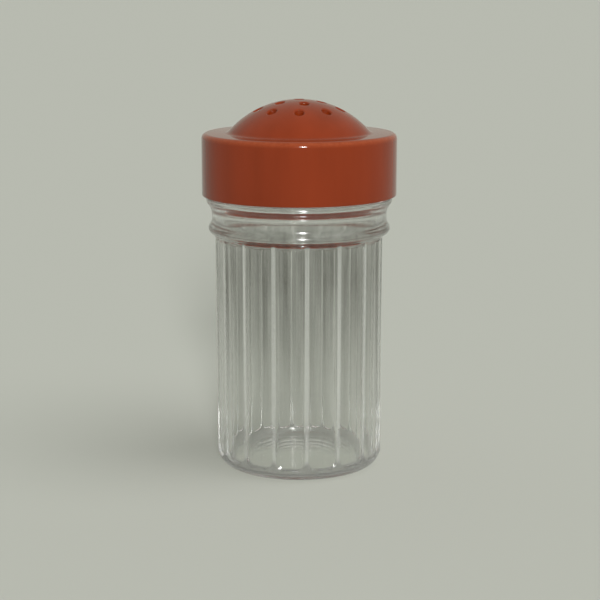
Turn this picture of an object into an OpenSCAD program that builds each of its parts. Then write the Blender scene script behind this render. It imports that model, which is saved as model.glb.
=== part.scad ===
// Salt shaker: a clear ribbed jar closed by a one-piece screw cap with a perforated dome.
// The jar stands on the table at z = 0, its axis is Z, and the front is towards -Y.

/* [Jar body] */
// Height from the table to the widest line of the bead
body_h = 55.1; // [46:0.1:66]
// Diameter over the ribs, at the bead; the bead, collar, neck and cap take their diameters from it
body_d = 38.2; // [34:0.1:43]
// How much smaller that diameter is at the heel, for the moulding draft
body_taper = 0.5; // [0:0.1:1]
// Rounding of the heel, where the side turns under
heel_r = 3.6; // [2:0.1:3.8]
// Wall thickness at the ribs, next to the floor
jar_wall = 1.5; // [1.4:0.1:2.6]
// Thickness of the floor
floor_t = 1.6; // [1.4:0.1:4]
// Rounding inside the jar, where the wall meets the floor
floor_r = 1.2; // [1:0.1:3]
// Width of the flat ring that the jar stands on, inside the heel
ring_w = 1.25; // [1:0.05:3]
// Rise of the shallow dome under the floor, inside that ring
recess_h = 0.5; // [0.3:0.1:0.8]

/* [Flutes] */
// Number of flat flutes round the body
flute_count = 16; // [14:1:20]
// Width of the rib that stands between two flutes
rib_w = 0.9; // [0.6:0.1:1.5]
// Height of a rib above the flutes beside it
rib_h = 0.3; // [0.2:0.05:0.4]
// Height of the lower end of the flutes
flute_bottom = 3.2; // [2.6:0.1:8]
// Rounding of the flutes' lower corners
flute_r = 1.8; // [1:0.1:2.2]
// Turn of the first rib from the front, in degrees
rib_turn = 5; // [0:1:22]

/* [Bead, collar and neck] */
// How far the bead stands out from the ribs
bead_out = 1.45; // [1.2:0.05:1.9]
// Radius of the bead's round section
bead_r = 1.3; // [1.1:0.1:1.6]
// Radius of the hollow fillet under the bead
under_r = 2.6; // [2:0.1:3.2]
// How far the waist between the bead and the collar stands out from the ribs
waist_out = 0.7; // [0.4:0.05:1]
// Radius of the hollow fillet between the bead and the waist
waist_fillet = 1.8; // [1.4:0.1:2]
// Radius of the hollow sweep from the waist out to the collar
sweep_r = 4; // [3:0.1:5]
// Height from the widest line of the bead to the top of the collar
collar_h = 7; // [6.6:0.1:8.5]
// How far the collar that the cap comes down to stands out from the ribs
collar_out = 1.9; // [1.6:0.05:2.4]
// Height of the collar's upright edge
collar_edge = 1.2; // [0.9:0.1:1.5]
// How far the neck inside the cap stands out from the ribs
neck_out = 0.3; // [0:0.05:0.5]
// Height of the neck above the collar
neck_h = 12.8; // [9:0.1:18]
// Wall thickness of the neck
neck_wall = 2; // [1.8:0.1:2.8]
// Rounding of the lip and of the collar's edge
lip_r = 0.5; // [0.2:0.1:0.8]

/* [Cap] */
// Wall thickness of the skirt and the shoulder
cap_wall = 1.6; // [1.2:0.1:2.4]
// Radial room between the neck and the skirt, where the screw thread runs
thread_room = 1; // [0.7:0.1:1.6]
// Gap between the end of the skirt and the collar
skirt_gap = 0.4; // [0.3:0.1:1.5]
// Rounding of the outer edge between skirt and shoulder
rim_r = 1.2; // [0.6:0.1:1.5]
// Width of the shoulder, from the skirt to where the dome would meet it
shoulder_w = 5.8; // [5:0.1:8]
// Height of the dome above the shoulder
dome_h = 7.5; // [5:0.1:11]
// Wall thickness of the dome
dome_wall = 1.6; // [1.2:0.1:2.2]
// Hollow fillet at the foot of the dome
foot_r = 1.5; // [0.8:0.1:1.8]

/* [Pouring holes] */
// Diameter of one hole
hole_d = 2; // [1.2:0.1:2.6]
// Number of holes in the outer ring
outer_holes = 9; // [6:1:10]
// Diameter of the outer ring of holes
outer_ring_d = 18.7; // [17:0.1:20]
// Number of holes in the inner ring
inner_holes = 5; // [4:1:6]
// Diameter of the inner ring of holes
inner_ring_d = 10; // [9:0.1:11.4]
// Turn of the inner ring against the outer ring, in degrees
ring_turn = 13; // [0:1:36]

/* [Hidden] */
$fn = 96;
// Reach of the cutting tools past the surfaces that they cut
over = 1;
// Depth that the foot of the fillet under the bead is sunk into the flutes
sink = 0.1;
// Straight pieces in each rounding of an outline
arc_steps = 8;

// Radii of the jar
body_r = body_d / 2;
base_r = body_r - body_taper / 2;
bead_max = body_r + bead_out;
waist_r = body_r + waist_out;
collar_r = body_r + collar_out;
neck_r = body_r + neck_out;
mouth_r = neck_r - neck_wall;
well_r = base_r - jar_wall;

// Heights of the jar, from the table up
collar_top = body_h + collar_h;
lip_z = collar_top + neck_h;

// A flute is a flat, leaning with the draft, that is cut below the ribs on both sides of it
half_flute = 180 / flute_count - asin(rib_w / 2 / body_r);
flute_w = body_r * sin(half_flute);
flute_x = body_r * cos(half_flute) - rib_h;
draft = atan((body_r - base_r) / (body_h - heel_r));

// The bead runs into a fillet that starts inside the flutes, and into the waist above
bead_x = bead_max - bead_r;
under_x = flute_x - sink + under_r;
under_a = acos((under_x - bead_x) / (bead_r + under_r));
under_z = body_h - (bead_r + under_r) * sin(under_a);
waist_x = waist_r + waist_fillet;
waist_a = acos((waist_x - bead_x) / (bead_r + waist_fillet));
waist_z = body_h + (bead_r + waist_fillet) * sin(waist_a);

// The sweep under the collar ends at the collar's upright edge
sweep_x = waist_r + sweep_r;
sweep_a = 180 - acos((sweep_x - collar_r) / sweep_r);
sweep_z = collar_top - collar_edge - sweep_r * sin(sweep_a);

// The dome under the floor is part of a ball
recess_r = base_r - heel_r - ring_w;
recess_ball = (pow(recess_r, 2) + pow(recess_h, 2)) / (2 * recess_h);

// Radii and heights of the cap, which seats on the lip of the jar
bore_r = neck_r + thread_room;
cap_r = bore_r + cap_wall;
skirt_z = collar_top + skirt_gap;
shoulder_z = lip_z + cap_wall;
apex_z = shoulder_z + dome_h;

// The dome is part of a ball, with a fillet that rolls off it onto the shoulder
dome_r = cap_r - shoulder_w;
dome_ball_r = (pow(dome_r, 2) + pow(dome_h, 2)) / (2 * dome_h);
dome_ball_z = apex_z - dome_ball_r;
foot_rise = shoulder_z + foot_r - dome_ball_z;
foot_x = sqrt(pow(dome_ball_r + foot_r, 2) - pow(foot_rise, 2));
foot_angle = atan2(foot_rise, foot_x);
hollow_r = dome_ball_r - dome_wall;
hollow_angle = asin((lip_z - dome_ball_z) / hollow_r);

// Points of an arc about (x, z), from one angle to another
function arc(x, z, r, from, to) =
    [for (i = [0 : arc_steps]) let (a = from + (to - from) * i / arc_steps) [x + r * cos(a), z + r * sin(a)]];

// Outline of the body over its ribs, from the dome under the floor up into the bead
module body_outline() {
    polygon(concat(
        arc(0, recess_h - recess_ball, recess_ball, 90, 90 - asin(recess_r / recess_ball)),
        arc(base_r - heel_r, heel_r, heel_r, -90, 0),
        [[body_r, body_h], [0, body_h]]
    ));
}

// Outline of the bead, the waist, the collar and the neck
module neck_outline() {
    polygon(concat(
        [[0, under_z]],
        arc(under_x, under_z, under_r, 180, 180 - under_a),
        arc(bead_x, body_h, bead_r, -under_a, waist_a),
        arc(waist_x, waist_z, waist_fillet, 180 + waist_a, 180),
        arc(sweep_x, sweep_z, sweep_r, 180, sweep_a),
        arc(collar_r - lip_r, collar_top - lip_r, lip_r, 0, 90),
        [[neck_r, collar_top]],
        arc(neck_r - lip_r, lip_z - lip_r, lip_r, 0, 90),
        [[0, lip_z]]
    ));
}

// Outline of the hollow, which widens towards the mouth
module hollow_outline() {
    polygon(concat(
        [[0, floor_t]],
        arc(well_r - floor_r, floor_t + floor_r, floor_r, -90, 0),
        [[mouth_r, lip_z], [mouth_r, lip_z + over], [0, lip_z + over]]
    ));
}

// Shape of a flute seen from outside: straight sides, two rounded lower corners, open at the top
module flute_shape() {
    low = flute_bottom + flute_r;
    polygon(concat(
        [[flute_w, body_h + over], [-flute_w, body_h + over]],
        arc(flute_r - flute_w, low, flute_r, 180, 270),
        arc(flute_w - flute_r, low, flute_r, 270, 360)
    ));
}

// One flute cutter, standing on the flat that it leaves
module flute_tool() {
    translate([0, 0, body_h])
        rotate([0, draft, 0])
            translate([flute_x, 0, -body_h])
                rotate([90, 0, 90])
                    linear_extrude(body_r - flute_x + over) flute_shape();
}

module jar() {
    color([0.86, 0.89, 0.87, 0.45])
        difference() {
            union() {
                difference() {
                    rotate_extrude() body_outline();
                    for (i = [0 : flute_count - 1])
                        rotate([0, 0, -90 + rib_turn + (i + 0.5) * 360 / flute_count]) flute_tool();
                }
                rotate_extrude() neck_outline();
            }
            rotate_extrude() hollow_outline();
        }
}

// Outline of the cap: skirt, shoulder, fillet and dome, with the hollow side drawn back
module cap_outline() {
    polygon(concat(
        [[bore_r, skirt_z], [cap_r, skirt_z]],
        arc(cap_r - rim_r, shoulder_z - rim_r, rim_r, 0, 90),
        arc(foot_x, shoulder_z + foot_r, foot_r, -90, foot_angle - 180),
        arc(0, dome_ball_z, dome_ball_r, foot_angle, 90),
        arc(0, dome_ball_z, hollow_r, 90, hollow_angle),
        [[bore_r, lip_z]]
    ));
}

// A ring of upright holes, the first one at the given turn from the front
module hole_ring(count, ring_d, turn) {
    for (i = [0 : count - 1])
        rotate([0, 0, -90 + turn + i * 360 / count])
            translate([ring_d / 2, 0, lip_z]) cylinder(d = hole_d, h = apex_z - lip_z + over);
}

module cap() {
    color([0.80, 0.26, 0.13])
        difference() {
            rotate_extrude() cap_outline();
            hole_ring(outer_holes, outer_ring_d, 0);
            hole_ring(inner_holes, inner_ring_d, ring_turn);
            hole_ring(1, 0, 0);
        }
}

jar();
cap();
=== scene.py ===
import math

import bmesh
import bpy
from mathutils import Matrix, Vector


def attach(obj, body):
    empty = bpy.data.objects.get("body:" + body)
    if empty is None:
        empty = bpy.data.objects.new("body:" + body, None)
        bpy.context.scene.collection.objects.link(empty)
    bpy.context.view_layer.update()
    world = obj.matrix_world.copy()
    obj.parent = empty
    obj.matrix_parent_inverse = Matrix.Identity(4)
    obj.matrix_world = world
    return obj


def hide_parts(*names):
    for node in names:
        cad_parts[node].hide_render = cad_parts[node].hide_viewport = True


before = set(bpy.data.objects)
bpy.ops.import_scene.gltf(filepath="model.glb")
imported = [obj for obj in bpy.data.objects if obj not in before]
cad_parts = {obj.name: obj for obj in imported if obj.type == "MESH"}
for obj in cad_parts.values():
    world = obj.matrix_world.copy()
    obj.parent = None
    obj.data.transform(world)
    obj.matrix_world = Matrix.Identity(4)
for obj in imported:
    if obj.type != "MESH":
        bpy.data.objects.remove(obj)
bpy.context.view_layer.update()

# The jar: one clear styrene moulding with sixteen flat flutes and a narrow rib between each two.
# Above the flutes come a round bead, a waist and a collar, and then the neck that the cap screws on to.
# Its outline is spun round the axis, and the spun rings are then pressed into flutes and a screw thread.
mm = 0.001
body_h, body_r, base_r, heel_r = 55.1, 19.1, 18.85, 3.6
floor_t, floor_r, well_r = 1.6, 1.2, 17.35
recess_r, recess_h = 14.0, 0.5
flute_count, flute_w, flute_x, flute_bottom, flute_r = 16, 3.284, 18.516, 3.2, 1.8
flank_w, crest_blend, rib_turn = 0.45, 0.10, 5.2
bead_max, bead_r, under_r, under_sink = 20.55, 1.3, 2.6, 0.1
waist_r, waist_fillet, sweep_r = 19.8, 1.8, 4.0
collar_r, collar_top, collar_edge, collar_ease = 21.0, 62.1, 1.2, 0.12
neck_r, neck_foot, mouth_r, lip_z, lip_r, lip_in_r = 19.4, 0.4, 17.4, 74.9, 0.5, 0.4
thread_pitch, thread_turns, thread_low, thread_h = 3.2, 1.6, 65.4, 0.65
thread_half_w, thread_flank, thread_lead = 0.85, 0.45, 0.08
outside_r, heel_shade_z, heel_shade_fade = 18.0, 5.5, 1.5


def arc_points(x, z, r, start, end, steps):
    """(radius, height) points along an arc about (x, z), between two angles in degrees."""
    turns = [math.radians(start + (end - start) * i / steps) for i in range(steps + 1)]
    return [(x + r * math.cos(a), z + r * math.sin(a)) for a in turns]


def spun(outline, steps, doublings):
    """A bmesh of an outline in mm, spun by a few steps and then doubled until it closes the circle."""
    bm = bmesh.new()
    chain = [bm.verts.new((r * mm, 0, z * mm)) for r, z in outline]
    links = [bm.edges.new(pair) for pair in zip(chain, chain[1:])]
    turn = math.tau / 2 ** doublings
    bmesh.ops.spin(bm, geom=chain + links, cent=(0, 0, 0), axis=(0, 0, 1), angle=turn, steps=steps)
    for _ in range(doublings):
        twin = bmesh.ops.duplicate(bm, geom=bm.verts[:] + bm.edges[:] + bm.faces[:])["geom"]
        bmesh.ops.rotate(bm, cent=(0, 0, 0), matrix=Matrix.Rotation(turn, 3, "Z"),
                         verts=[v for v in twin if isinstance(v, bmesh.types.BMVert)])
        turn *= 2
    bmesh.ops.remove_doubles(bm, verts=bm.verts, dist=1e-6)
    bmesh.ops.recalc_face_normals(bm, faces=bm.faces)
    return bm


def soft_max(a, b, blend):
    """The larger of two values, with a rounded change from one to the other."""
    gap = max(blend - abs(a - b), 0) / blend
    return max(a, b) + gap * gap * blend / 4


def soft_min(a, b, blend):
    """The smaller of two values, with a rounded change from one to the other."""
    return -soft_max(-a, -b, blend)


def thread_rise(turn, z, low):
    """Height of the screw thread's ridge at a turn round the axis, in turns, and a height in mm."""
    rise = 0
    for lap in range(math.ceil(thread_turns) + 1):
        along = turn % 1 + lap
        side = (thread_half_w - abs(z - low - thread_pitch * along)) / thread_flank
        end = min(along, thread_turns - along) / thread_lead
        rise = max(rise, min(1, max(0, side)) * min(1, max(0, end)))
    return thread_h * rise * rise * (3 - 2 * rise)


def finished(bm, name, sharp):
    """An object of the bmesh, shaded smooth but for the edges sharper than an angle in degrees."""
    mesh = bpy.data.meshes.new(name)
    bm.to_mesh(mesh)
    bm.free()
    mesh.shade_smooth()
    mesh.set_sharp_from_angle(angle=math.radians(sharp))
    obj = bpy.data.objects.new(name, mesh)
    bpy.context.scene.collection.objects.link(obj)
    return obj


def side_r(z):
    """Radius over the ribs at a height, with the moulding draft."""
    return base_r + (body_r - base_r) * (z - heel_r) / (body_h - heel_r)


# Centres and angles of the arcs, from the recess under the floor up to the sweep that ends at the collar
recess_ball = (recess_r ** 2 + recess_h ** 2) / (2 * recess_h)
recess_a = 90 - math.degrees(math.asin(recess_r / recess_ball))
bead_x = bead_max - bead_r
under_x = flute_x - under_sink + under_r
under_a = math.degrees(math.acos((under_x - bead_x) / (bead_r + under_r)))
under_z = body_h - (bead_r + under_r) * math.sin(math.radians(under_a))
waist_x = waist_r + waist_fillet
waist_a = math.degrees(math.acos((waist_x - bead_x) / (bead_r + waist_fillet)))
waist_z = body_h + (bead_r + waist_fillet) * math.sin(math.radians(waist_a))
sweep_x = waist_r + sweep_r
sweep_a = 180 - math.degrees(math.acos((sweep_x - collar_r + collar_ease) / sweep_r))
sweep_end = collar_top - collar_edge
sweep_z = sweep_end - sweep_r * math.sin(math.radians(sweep_a))

# The rows of points lie close together where the flutes end and where the thread runs
side_rows = [heel_r + 0.25 * i for i in range(1, 7)] + [5.4, 5.8, *range(8, 45, 6), 49, 51]
collar_rows = [(collar_r - 0.03, sweep_end + 0.16), (collar_r, sweep_end + 0.34)]
floor_row = 8
neck_low, neck_high, neck_rows = collar_top + neck_foot, lip_z - lip_r, 52
well_low, well_high, well_rows = floor_t + floor_r, lip_z - lip_in_r, 7
jar_outline = arc_points(0, recess_h - recess_ball, recess_ball, 90, recess_a, 6)
jar_outline += arc_points(base_r - heel_r, heel_r, heel_r, -90, 0, 18)
jar_outline += [(side_r(z), z) for z in side_rows]
jar_outline += arc_points(under_x, under_z, under_r, 180, 180 - under_a, 18)
jar_outline += arc_points(bead_x, body_h, bead_r, -under_a, waist_a, 16)[1:]
jar_outline += arc_points(waist_x, waist_z, waist_fillet, 180 + waist_a, 180, 8)[1:]
jar_outline += arc_points(sweep_x, sweep_z, sweep_r, 180, sweep_a, 12)
jar_outline += collar_rows
jar_outline += arc_points(collar_r - lip_r, collar_top - lip_r, lip_r, 0, 90, 6)
jar_outline += arc_points(neck_r + neck_foot, neck_low, neck_foot, 270, 180, 4)
jar_outline += [(neck_r, neck_low + (neck_high - neck_low) * i / neck_rows) for i in range(1, neck_rows)]
jar_outline += arc_points(neck_r - lip_r, neck_high, lip_r, 0, 90, 5)
jar_outline += arc_points(mouth_r + lip_in_r, well_high, lip_in_r, 90, 180, 4)
for i in range(1, well_rows):
    down = i / well_rows
    jar_outline.append((mouth_r + (well_r - mouth_r) * down, well_high + (well_low - well_high) * down))
jar_outline += arc_points(well_r - floor_r, well_low, floor_r, 0, -90, 7)
jar_outline += [(floor_row, floor_t), (0, floor_t)]

# Distances from a rib's middle, round the body, at which the spun rings have their points
half_marks = [0, 0.1, 0.2, 0.3, 0.4, 0.5, 0.6, 0.72, 0.95, 1.25, 1.6, 2.05, 2.7]
pitch_w = math.tau * body_r / flute_count
marks = half_marks + [pitch_w / 2] + [pitch_w - m for m in reversed(half_marks[1:])]
jar_steps = flute_count * len(marks)
jar_bm = spun(jar_outline, len(marks), int(math.log2(flute_count)))


def land_share(z, across):
    """0 in a flute and 1 on the ribs and heel beside it, at a height and a distance from its middle."""
    root_w, root_z, root_r = flute_w - flank_w / 2, flute_bottom + flank_w / 2, flute_r - flank_w / 2
    aside, below = max(across - root_w + root_r, 0), max(root_z + root_r - z, 0)
    past = math.hypot(aside, below) - root_r if aside and below else max(aside, below) - root_r
    step = min(max(past / flank_w, 0), 1)
    return 0.5 - 0.5 * math.cos(math.pi * step)


def fluted_r(z, across):
    """Radius of the body at a height and a distance, in mm, from the middle of a flute."""
    out_r = side_r(z)
    flat_r = (flute_x - body_r + out_r) / math.cos(across / body_r)
    return flat_r + max(out_r - flat_r, 0) * land_share(z, across)


# The rings of points are pressed to the flutes and the thread, and the heel's points note their share of
# painted shade, a share that also rubs them dull
heel_shade_and_rub = jar_bm.verts.layers.float.new("heel_shade_and_rub")
slack = 0.01
for v in jar_bm.verts:
    r, z = math.hypot(v.co.x, v.co.y) / mm, v.co.z / mm
    if r < slack:
        continue
    ring = round(math.atan2(v.co.y, v.co.x) / math.tau * jar_steps) % jar_steps
    mark = marks[ring % len(marks)]
    turn = math.radians(rib_turn - 90) + (ring // len(marks) * pitch_w + mark) / body_r
    across = abs(mark - pitch_w / 2)
    if z < heel_shade_z and r > (recess_r + slack if z < floor_t - slack else outside_r):
        v[heel_shade_and_rub] = land_share(z, across) * min(1, (heel_shade_z - z) / heel_shade_fade)
    if r > outside_r and z < under_z - slack:
        r = soft_min(r, fluted_r(z, across), crest_blend)
    elif r > outside_r and z < body_h:
        r = soft_max(r, soft_min(side_r(z), fluted_r(z, across), crest_blend), crest_blend)
    elif r > outside_r and neck_low < z < neck_high:
        r += thread_rise(turn / math.tau, z, thread_low)
    v.co = (r * mm * math.cos(turn), r * mm * math.sin(turn), z * mm)
jar = finished(jar_bm, "shaker_jar", 50)


def feed(tree, node, feeds):
    """Sets inputs of a shader node to plain values, or links them to other nodes' outputs."""
    for socket, source in feeds.items():
        if isinstance(source, bpy.types.NodeSocket):
            tree.links.new(source, node.inputs[socket])
        else:
            node.inputs[socket].default_value = source


def wired(tree, kind, feeds, **settings):
    """A new shader node, with its settings made and its inputs fed."""
    node = tree.nodes.new(kind)
    for name, value in settings.items():
        setattr(node, name, value)
    feed(tree, node, feeds)
    return node


def maths(tree, operation, *feeds):
    """The result of a maths node."""
    return wired(tree, "ShaderNodeMath", dict(enumerate(feeds)), operation=operation).outputs["Value"]


def between(tree, value, low, high, start=0, end=1):
    """A value that goes from start to end, as another goes from low to high."""
    feeds = {"Value": value, "From Min": low, "From Max": high, "To Min": start, "To Max": end}
    return wired(tree, "ShaderNodeMapRange", feeds).outputs["Result"]


def ramp(tree, value, *stops):
    """The colour of a ramp at a value; each stop has a position, and a colour or the level of a grey."""
    node = wired(tree, "ShaderNodeValToRGB", {"Fac": value})
    points = node.color_ramp.elements
    points[1].position, points[0].position = stops[-1][0], stops[0][0]
    for position, _ in stops[1:-1]:
        points.new(position)
    for point, (_, colour) in zip(points, stops):
        point.color = (*colour, 1) if isinstance(colour, tuple) else (colour, colour, colour, 1)
    return node.outputs["Color"]


def noise(tree, place, scale, detail, roughness=0.5):
    """A cloudy pattern, of a scale in patches to the metre."""
    feeds = {"Vector": place, "Scale": scale, "Detail": detail, "Roughness": roughness}
    return wired(tree, "ShaderNodeTexNoise", feeds).outputs["Fac"]


def drawn_up(tree, place, squeeze):
    """Places for a pattern that is drawn out upwards into streaks."""
    feeds = {"Vector": place, "Scale": (1, 1, squeeze)}
    return wired(tree, "ShaderNodeMapping", feeds).outputs["Vector"]


def bumped(tree, pattern, strength, depth):
    """The normal of a surface that a pattern raises by up to a depth in metres."""
    feeds = {"Height": pattern, "Strength": strength, "Distance": depth}
    return wired(tree, "ShaderNodeBump", feeds).outputs["Normal"]


def tinted(tree, share, colour, other):
    """A colour that goes over to another by a share."""
    feeds = {"Factor": share, "A": colour, "B": other}
    return wired(tree, "ShaderNodeMix", feeds, data_type="RGBA").outputs["Result"]


def blended(tree, share, shader, other):
    """A shader that goes over to another by a share."""
    return wired(tree, "ShaderNodeMixShader", {"Fac": share, 1: shader, 2: other}).outputs["Shader"]


def about_axis(tree, place):
    """Distance from the axis and height of the place that is shaded."""
    split = wired(tree, "ShaderNodeSeparateXYZ", {"Vector": place}).outputs
    flat = wired(tree, "ShaderNodeCombineXYZ", {"X": split["X"], "Y": split["Y"]}).outputs["Vector"]
    length = wired(tree, "ShaderNodeVectorMath", {0: flat}, operation="LENGTH").outputs["Value"]
    return length, split["Z"]


unshaded_tint, painted_shade_tint, heel_shade_tint = (0.96, 0.965, 0.955), (0.20, 0.195, 0.18), (0.47, 0.46, 0.48, 1)
wall_passes, floor_passes = (0.80, 0.805, 0.795), (1, 1, 1)
brow_low, brow_high, wear_h = 19.5, 19.9, 60.0
shade_in_r, shade_depth, shade_low, shade_high = 18.1, 0.6, 52.9, 53.5
crest_low, crest_high = 0.10, 0.02
clear = bpy.data.materials.new("clear_styrene")
clear.use_nodes = True
tree = clear.node_tree
place = wired(tree, "ShaderNodeTexCoord", {}).outputs["Object"]
reach, height = about_axis(tree, place)
tall = between(tree, height, 0, wear_h * mm)

# Soft waves of the moulded wall, with the fine scuffs of use over them
# The heel, the bead, the waist and the collar are rubbed a little dull
waves = noise(tree, place, 220, 1)
scuffs = noise(tree, place, 900, 6, 0.7)
haze = between(tree, scuffs, 0.45, 0.8, 0.01, 0.05)
# The heel's share paints shade on the ribs' feet and the heel, fading upwards, and also rubs them dull
heel_shade_and_rub_share = wired(tree, "ShaderNodeAttribute", {}, attribute_name="heel_shade_and_rub").outputs["Fac"]
brow = between(tree, reach, brow_low * mm, brow_high * mm)
rubbed = maths(tree, "MULTIPLY", maths(tree, "MAXIMUM", heel_shade_and_rub_share, brow), 0.32)
dullness = maths(tree, "MULTIPLY_ADD", rubbed, scuffs, haze)

# Painted shade darkens the clear tint in the flutes and on the bead, more towards the top and in upright
# streaks, while the ribs are left clear
draft = (body_r - base_r) / (body_h - heel_r)
rib_at = maths(tree, "MULTIPLY_ADD", height, -draft, reach)
sunk = between(tree, rib_at, side_r(0) * mm, (side_r(0) - shade_depth) * mm)
in_flutes = ramp(tree, sunk, (0.2, 0), (0.38, 0.6), (0.5, 1), (0.64, 0.84), (1, 0.78))
on_bead = between(tree, height, shade_low * mm, shade_high * mm, 0, 0.8)
outside = maths(tree, "GREATER_THAN", reach, shade_in_r * mm)
shade_spots = maths(tree, "MULTIPLY", maths(tree, "MAXIMUM", in_flutes, on_bead), outside)
higher = ramp(tree, tall, (0.1, 0.08), (0.2, 0.2), (0.5, 0.66), (0.76, 1), (0.93, 0.8), (0.98, 0.15))
streaks = between(tree, noise(tree, drawn_up(tree, place, 0.04), 700, 2), 0.3, 0.7, 0.55, 1.25)
painted_shade = maths(tree, "MULTIPLY", shade_spots, maths(tree, "MULTIPLY", higher, streaks))
shaded_colour = ramp(tree, painted_shade, (0, unshaded_tint), (1, painted_shade_tint))

# The crests of the ribs, between the heel and the bead, get a painted highlight: part of their
# transmission turns white, broken up by the scuff pattern
crest = between(tree, rib_at, (side_r(0) - crest_low) * mm, (side_r(0) - crest_high) * mm)
crest_length = ramp(tree, tall, (0.06, 0), (0.08, 1), (0.87, 1), (0.89, 0))
painted_crest_highlight = maths(tree, "MULTIPLY", maths(tree, "MULTIPLY", crest, crest_length), scuffs)
styrene = tree.nodes["Principled BSDF"]
feed(tree, styrene, {
    "IOR": 1.57,
    # Base colour: painted shade in the flutes, on the bead and on the heel
    "Base Color": tinted(tree, heel_shade_and_rub_share, shaded_colour, heel_shade_tint),
    "Roughness": dullness,
    # Painted highlight: the rib crests pass less light and show white
    "Transmission Weight": between(tree, painted_crest_highlight, 0, 1, 1, 0.75),
    "Normal": bumped(tree, waves, 0.15, 0.2 * mm),
})

# Lamps and the light that floor and cap give off pass through the wall, as they do in the thin real one
# The floor of the jar lets nearly all of it by, and the fluted side scatters a part away
normal = wired(tree, "ShaderNodeNewGeometry", {}).outputs["True Normal"]
upright = wired(tree, "ShaderNodeSeparateXYZ", {"Vector": normal}).outputs["Z"]
passed = ramp(tree, maths(tree, "ABSOLUTE", upright), (0.4, wall_passes), (0.9, floor_passes))
thinned = wired(tree, "ShaderNodeBsdfTransparent", {"Color": passed}).outputs["BSDF"]
unhindered = wired(tree, "ShaderNodeBsdfTransparent", {}).outputs["BSDF"]
path = wired(tree, "ShaderNodeLightPath", {}).outputs
bounced = blended(tree, path["Is Diffuse Ray"], styrene.outputs["BSDF"], unhindered)
lamplit = blended(tree, path["Is Shadow Ray"], bounced, thinned)
feed(tree, tree.nodes["Material Output"], {"Surface": lamplit})
jar.data.materials.append(clear)
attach(jar, "jar")
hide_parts("jar")

# The cap: one opaque orange-red moulding with a plain skirt, a flat shoulder and a dome of fifteen holes.
# It screws on to the neck until its ceiling meets the lip, and its own thread runs under the neck's.
# The outline is spun, the thread is pressed into the bore, and the holes are cut through the dome.
bore_r, cap_r, skirt_z, shoulder_z, rim_r = 20.4, 21.99, 62.5, 76.5, 1.2
skirt_out_r, skirt_in_r, ceiling_r, cap_sharp = 0.25, 0.2, 0.5, 40
dome_ball, dome_z, dome_wall, foot_r = 21.248, 62.72, 1.6, 1.5
hole_r, hole_flare, flare_h, pin_h, pin_sink = 1.0, 0.4, 0.6, 6.0, 1.0
hole_rings = [(1, 0, 0), (5, 5.0, 13), (9, 9.35, 0)]
foot_rise = shoulder_z + foot_r - dome_z
foot_x = math.sqrt((dome_ball + foot_r) ** 2 - foot_rise ** 2)
foot_a = math.degrees(math.atan2(foot_rise, foot_x))
hollow_ball = dome_ball - dome_wall
hollow_a = math.degrees(math.asin((lip_z - dome_z) / hollow_ball))

skirt_rows = [72, 68]
bore_low, bore_high, bore_rows = skirt_z + skirt_in_r, lip_z - ceiling_r, 50
bore_step = (bore_high - bore_low) / bore_rows
cap_outline = arc_points(0, dome_z, dome_ball, 90, foot_a, 26)
cap_outline += arc_points(foot_x, shoulder_z + foot_r, foot_r, foot_a - 180, -90, 8)[1:]
cap_outline += arc_points(cap_r - rim_r, shoulder_z - rim_r, rim_r, 90, 0, 10)
cap_outline += [(cap_r, z) for z in skirt_rows]
cap_outline += arc_points(cap_r - skirt_out_r, skirt_z + skirt_out_r, skirt_out_r, 0, -90, 4)
cap_outline += arc_points(bore_r + skirt_in_r, bore_low, skirt_in_r, -90, -180, 3)
cap_outline += [(bore_r, bore_low + bore_step * i) for i in range(1, bore_rows + 1)]
cap_outline += arc_points(bore_r - ceiling_r, bore_high, ceiling_r, 0, 90, 4)[1:]
cap_outline += arc_points(0, dome_z, hollow_ball, hollow_a, 90, 20)
cap_bm = spun(cap_outline, 7, 5)
for v in cap_bm.verts:
    r, z = math.hypot(v.co.x, v.co.y) / mm, v.co.z / mm
    if abs(r - bore_r) < slack and bore_low < z < bore_high:
        turn = math.atan2(v.co.y, v.co.x)
        r -= thread_rise(turn / math.tau, z, thread_low - thread_pitch / 2)
        v.co.x, v.co.y = r * mm * math.cos(turn), r * mm * math.sin(turn)
cap = finished(cap_bm, "shaker_cap", cap_sharp)

# The holes are cut twice: by upright pins, and by rounded flares that lie square to the dome
flare_r = hole_r + hole_flare
flare_z = -hole_flare - flare_r ** 2 / (2 * dome_ball)
flare_outline = [(0, flare_z)] + arc_points(flare_r, flare_z, hole_flare, 180, 90, 8)
flare_outline += [(flare_r, flare_h), (0, flare_h)]
flare = finished(spun(flare_outline, 6, 3), "hole_flare", cap_sharp)
pins, flares = bmesh.new(), bmesh.new()
for count, ring_r, first in hole_rings:
    lean = math.asin(ring_r / dome_ball)
    ring_z = dome_z + dome_ball * math.cos(lean)
    stretch = Matrix.Scale(1 / math.cos(lean), 4, (1, 0, 0))
    for i in range(count):
        turn = math.radians(first - 90 + 360 * i / count)
        spot = Vector((ring_r * math.cos(turn), ring_r * math.sin(turn), ring_z)) * mm
        middle = spot - Vector((0, 0, pin_sink * mm))
        bmesh.ops.create_cone(pins, cap_ends=True, segments=32, radius1=hole_r * mm, radius2=hole_r * mm,
                              depth=pin_h * mm, matrix=Matrix.Translation(middle))
        square = Matrix.Rotation(turn, 4, "Z") @ Matrix.Rotation(lean, 4, "Y")
        before = len(flares.verts)
        flares.from_mesh(flare.data)
        flares.verts.ensure_lookup_table()
        bmesh.ops.transform(flares, verts=flares.verts[before:],
                            matrix=Matrix.Translation(spot) @ square @ stretch)
bpy.data.objects.remove(flare)
cutters = [finished(pins, "hole_pins", cap_sharp), finished(flares, "hole_flares", cap_sharp)]
for cutter in cutters:
    cut = cap.modifiers.new(cutter.name, "BOOLEAN")
    cut.object = cutter
    cut.solver = "MANIFOLD"
bpy.context.view_layer.update()
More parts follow.
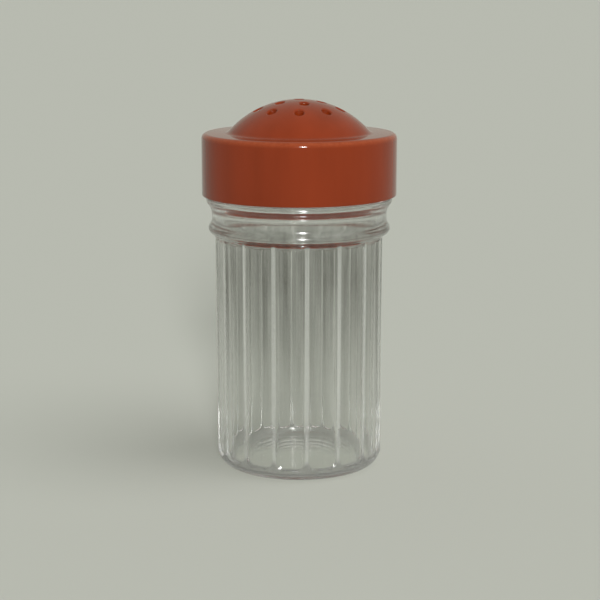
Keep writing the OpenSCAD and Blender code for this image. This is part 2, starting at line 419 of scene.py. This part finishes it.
drilled = bpy.data.meshes.new_from_object(cap.evaluated_get(bpy.context.evaluated_depsgraph_get()))
cap.modifiers.clear()
cap.data = drilled
for cutter in cutters:
    bpy.data.objects.remove(cutter)
drilled.materials.clear()
drilled.shade_smooth()
drilled.set_sharp_from_angle(angle=math.radians(cap_sharp))

deep_tint, fresh_tint = (0.205, 0.026, 0.004), (0.245, 0.032, 0.006)
worn_tint, lit_tint = (0.36, 0.075, 0.025, 1), (0.62, 0.10, 0.03, 1)
worn_far, worn_near, lit_margin, lit_above = 1.1, 0.2, 0.1, 0.5
rust = bpy.data.materials.new("orange_red_plastic")
rust.use_nodes = True
tree = rust.node_tree
place = wired(tree, "ShaderNodeTexCoord", {}).outputs["Object"]
reach, height = about_axis(tree, place)

# Faint upright streaks, where the plastic flowed up the mould, and a fine grain
flow = noise(tree, drawn_up(tree, place, 0.12), 170, 3)
tone = ramp(tree, flow, (0.3, deep_tint), (0.7, fresh_tint))
grain = noise(tree, place, 1400, 4)

# The rim is rubbed paler by the hands that turn it
rim_at = ((cap_r - rim_r / 4) * mm, (shoulder_z - rim_r / 4) * mm, 0)
section = wired(tree, "ShaderNodeCombineXYZ", {"X": reach, "Y": height}).outputs["Vector"]
away = wired(tree, "ShaderNodeVectorMath", {0: section, 1: rim_at}, operation="DISTANCE").outputs["Value"]
worn = maths(tree, "MULTIPLY", between(tree, away, worn_far * mm, worn_near * mm), grain)
outer_tone = tinted(tree, worn, tone, worn_tint)

# The bore and the ceiling look brighter, as some light comes through the thin wall
in_bore = maths(tree, "LESS_THAN", reach, (bore_r + lit_margin) * mm)
under_ceiling = maths(tree, "LESS_THAN", height, (lip_z + lit_above) * mm)
inside = maths(tree, "MULTIPLY", in_bore, under_ceiling)
feed(tree, tree.nodes["Principled BSDF"], {
    "IOR": 1.5,
    "Specular IOR Level": 0.3,
    "Base Color": tinted(tree, inside, outer_tone, lit_tint),
    "Roughness": between(tree, grain, 0.35, 0.7, 0.06, 0.11),
    "Normal": bumped(tree, grain, 0.12, 0.1 * mm),
})
cap.data.materials.append(rust)
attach(cap, "cap")
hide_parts("cap")

# The floor: a wide, plain, pale surface that isn't part of the shaker.
# It is matt, so wide that it fills the view up to the horizon, and a hair below the standing ring.
floor_half, floor_z = 40, -0.00003
floor_bm = bmesh.new()
bmesh.ops.create_grid(floor_bm, x_segments=1, y_segments=1, size=floor_half,
                      matrix=Matrix.Translation((0, 0, floor_z)))
floor = finished(floor_bm, "floor", 30)
pale = bpy.data.materials.new("pale_floor")
pale.use_nodes = True
feed(pale.node_tree, pale.node_tree.nodes["Principled BSDF"], {
    "Base Color": (0.555, 0.563, 0.506, 1),
    "Roughness": 1,
    "Specular IOR Level": 0,
})
floor.data.materials.append(pale)

# The light: a pale room that is darker in front, a small lamp low behind the camera, and a broad window
# on the right. The camera, the clear jar and the gloss of the cap all see the room as pale as the floor.
scene = bpy.context.scene
scene.view_settings.view_transform = "Standard"
scene.cycles.max_bounces = scene.cycles.glossy_bounces = scene.cycles.transmission_bounces = 32
room_tint, backdrop_tint = (0.95, 1.0, 0.93, 1), (0.474, 0.491, 0.429, 1)
front_strength, back_strength = 0.06, 0.5
room = bpy.data.worlds.new("room")
scene.world = room
room.use_nodes = True
tree = room.node_tree
look = wired(tree, "ShaderNodeTexCoord", {}).outputs["Generated"]
backwards = wired(tree, "ShaderNodeSeparateXYZ", {"Vector": look}).outputs["Y"]
sky = tree.nodes["Background"]
strength = between(tree, backwards, -1, 1, front_strength, back_strength)
feed(tree, sky, {"Color": room_tint, "Strength": strength})
backdrop = wired(tree, "ShaderNodeBackground", {"Color": backdrop_tint}).outputs["Background"]
path = wired(tree, "ShaderNodeLightPath", {}).outputs
straight = maths(tree, "MAXIMUM", path["Is Camera Ray"], path["Is Transmission Ray"])
seen = maths(tree, "MAXIMUM", straight, path["Is Glossy Ray"])
around = blended(tree, seen, sky.outputs["Background"], backdrop)
feed(tree, tree.nodes["World Output"], {"Surface": around})


def lamp(name, azimuth, elevation, width, strength, mirrored=True):
    """A far lamp, seen from the shaker at an azimuth right of the front and an elevation, in degrees."""
    data = bpy.data.lights.new(name, "SUN")
    data.angle = math.radians(width)
    data.energy = strength
    sun = bpy.data.objects.new(name, data)
    scene.collection.objects.link(sun)
    sun.visible_glossy = mirrored
    a, e = math.radians(azimuth), math.radians(elevation)
    way = Vector((math.sin(a) * math.cos(e), -math.cos(a) * math.cos(e), math.sin(e)))
    sun.rotation_euler = way.to_track_quat("Z", "Y").to_euler()


lamp("front_lamp_low", 5, 14, 6, 0.83)
lamp("front_lamp_middle", 5, 19, 6, 0.83)
lamp("front_lamp_high", 5, 25, 6, 0.65)
lamp("right_window", 60, 60, 50, 1.3, mirrored=False)

# The camera: at the photograph's height, distance and tilt, with its small shift to the side.
# Its focal length and shift are in pixels of the photograph's width.
picture_w, focal, shift, tilt = 600, 1707.3, 0.8, 11.29
eye = bpy.data.cameras.new("camera")
eye.sensor_width = 36
eye.lens = focal / picture_w * eye.sensor_width
eye.shift_x = shift / picture_w
eye.clip_start, eye.clip_end = 0.01, 200
camera = bpy.data.objects.new("camera", eye)
camera.location = (0, -0.3837, 0.11468)
camera.rotation_euler = (math.radians(90 - tilt), 0, 0)
scene.collection.objects.link(camera)
scene.camera = camera
